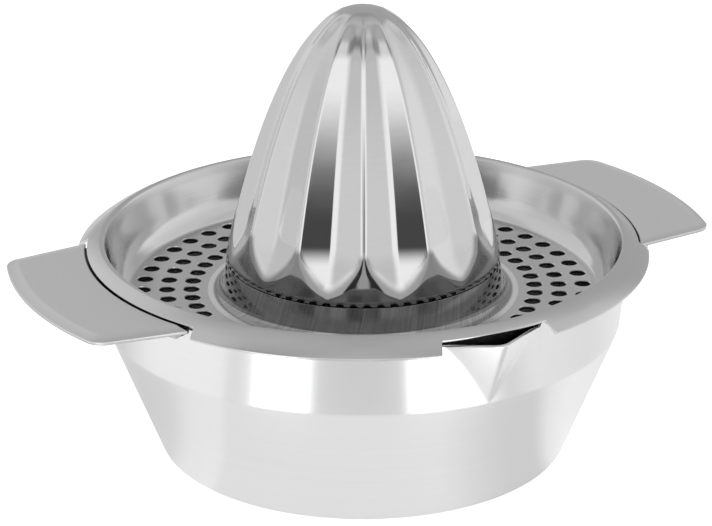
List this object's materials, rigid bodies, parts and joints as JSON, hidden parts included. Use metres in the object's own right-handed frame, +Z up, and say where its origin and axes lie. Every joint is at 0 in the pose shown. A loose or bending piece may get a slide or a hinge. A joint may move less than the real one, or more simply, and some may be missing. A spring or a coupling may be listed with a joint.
{
  "type": "hand citrus juicer",
  "caption": "Steel hand citrus juicer: a fluted reamer cone on a perforated strainer tray that lifts off a bowl with pouring spouts and two flat handles.",
  "frame": {"origin": "middle of the flat base of the bowl, on the surface that it stands on", "axes": "+Z up along the axis of the cone; the two handles point along +X and -X; the two spouts point along +Y and -Y"},
  "size_m": [0.1858, 0.151, 0.1187],
  "materials": {
    "bowl_steel": "soft polished stainless steel",
    "handle_steel": "fine satin stainless steel",
    "tray_steel": "satin polished stainless steel",
    "cone_steel": "mirror polished stainless steel"
  },
  "bodies": {
    "bowl_with_handles": {"bowl": "bowl_steel", "handle_right": "handle_steel", "handle_left": "handle_steel"},
    "strainer_with_cone": {"strainer": "tray_steel", "reamer_cone": "cone_steel"}
  },
  "joints": [
    {"name": "strainer_lift", "type": "slide", "parent": "bowl_with_handles", "child": "strainer_with_cone", "axis": [0, 0, 1], "range_m": [0, 0.06]}
  ]
}
